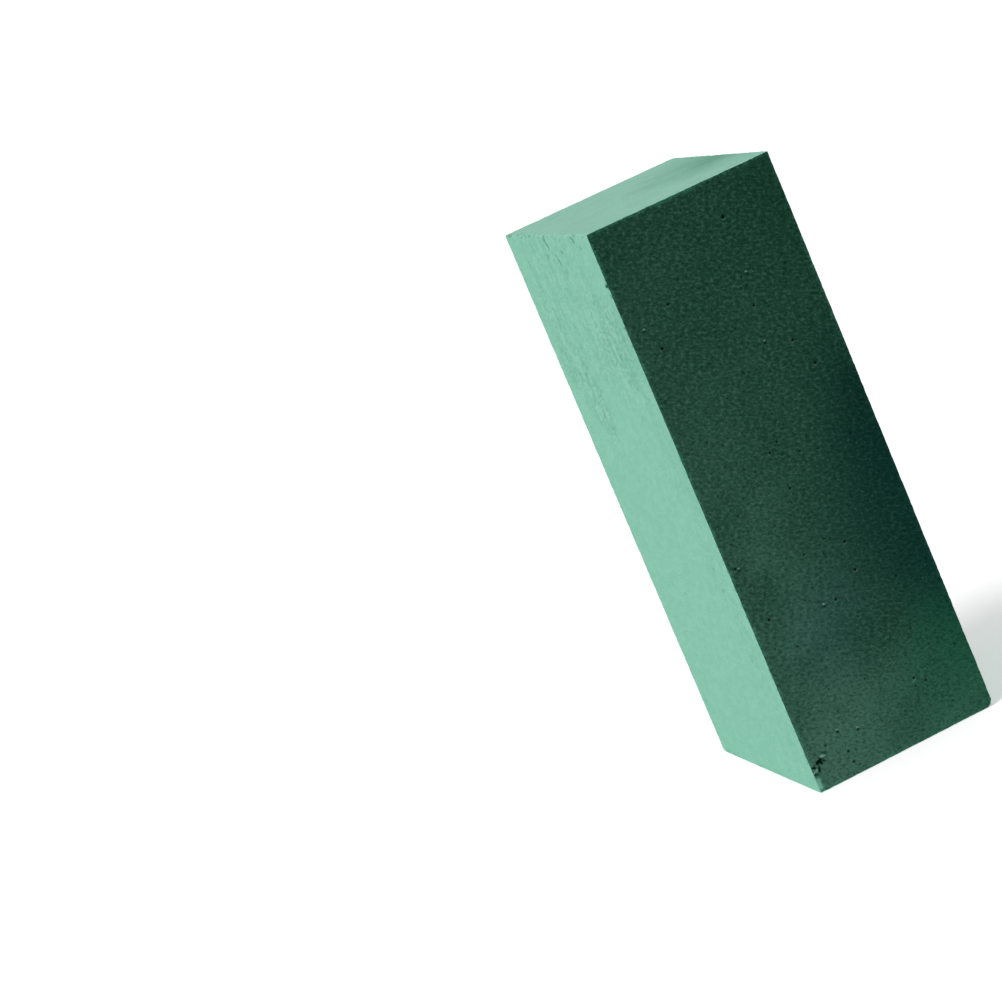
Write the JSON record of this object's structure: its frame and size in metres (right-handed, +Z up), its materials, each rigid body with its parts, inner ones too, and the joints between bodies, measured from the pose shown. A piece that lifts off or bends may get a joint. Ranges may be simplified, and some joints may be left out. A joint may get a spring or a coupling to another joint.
{
  "type": "floral foam brick",
  "caption": "Upright rectangular block of dry green floral foam: pale smooth-sawn broad faces and ends, dark open-celled narrow sides, a chipped corner and a small gouge.",
  "frame": {"origin": "middle of the base end face, on the surface that the brick stands on", "axes": "+Z up the brick's 230 mm length; +X across its 77 mm thickness, towards the right broad face; -Y is the front, the narrow side with the gouge; +Y runs along its 110 mm width to the back"},
  "size_m": [0.077, 0.11, 0.23],
  "materials": {
    "phenolic_foam": "dry rigid phenolic foam, dead matt and powdery: pale mint where it is sawn along its cells, dark green and pitted where the cells are cut open"
  },
  "bodies": {
    "root": {"foam_block": "phenolic_foam"}
  },
  "joints": []
}
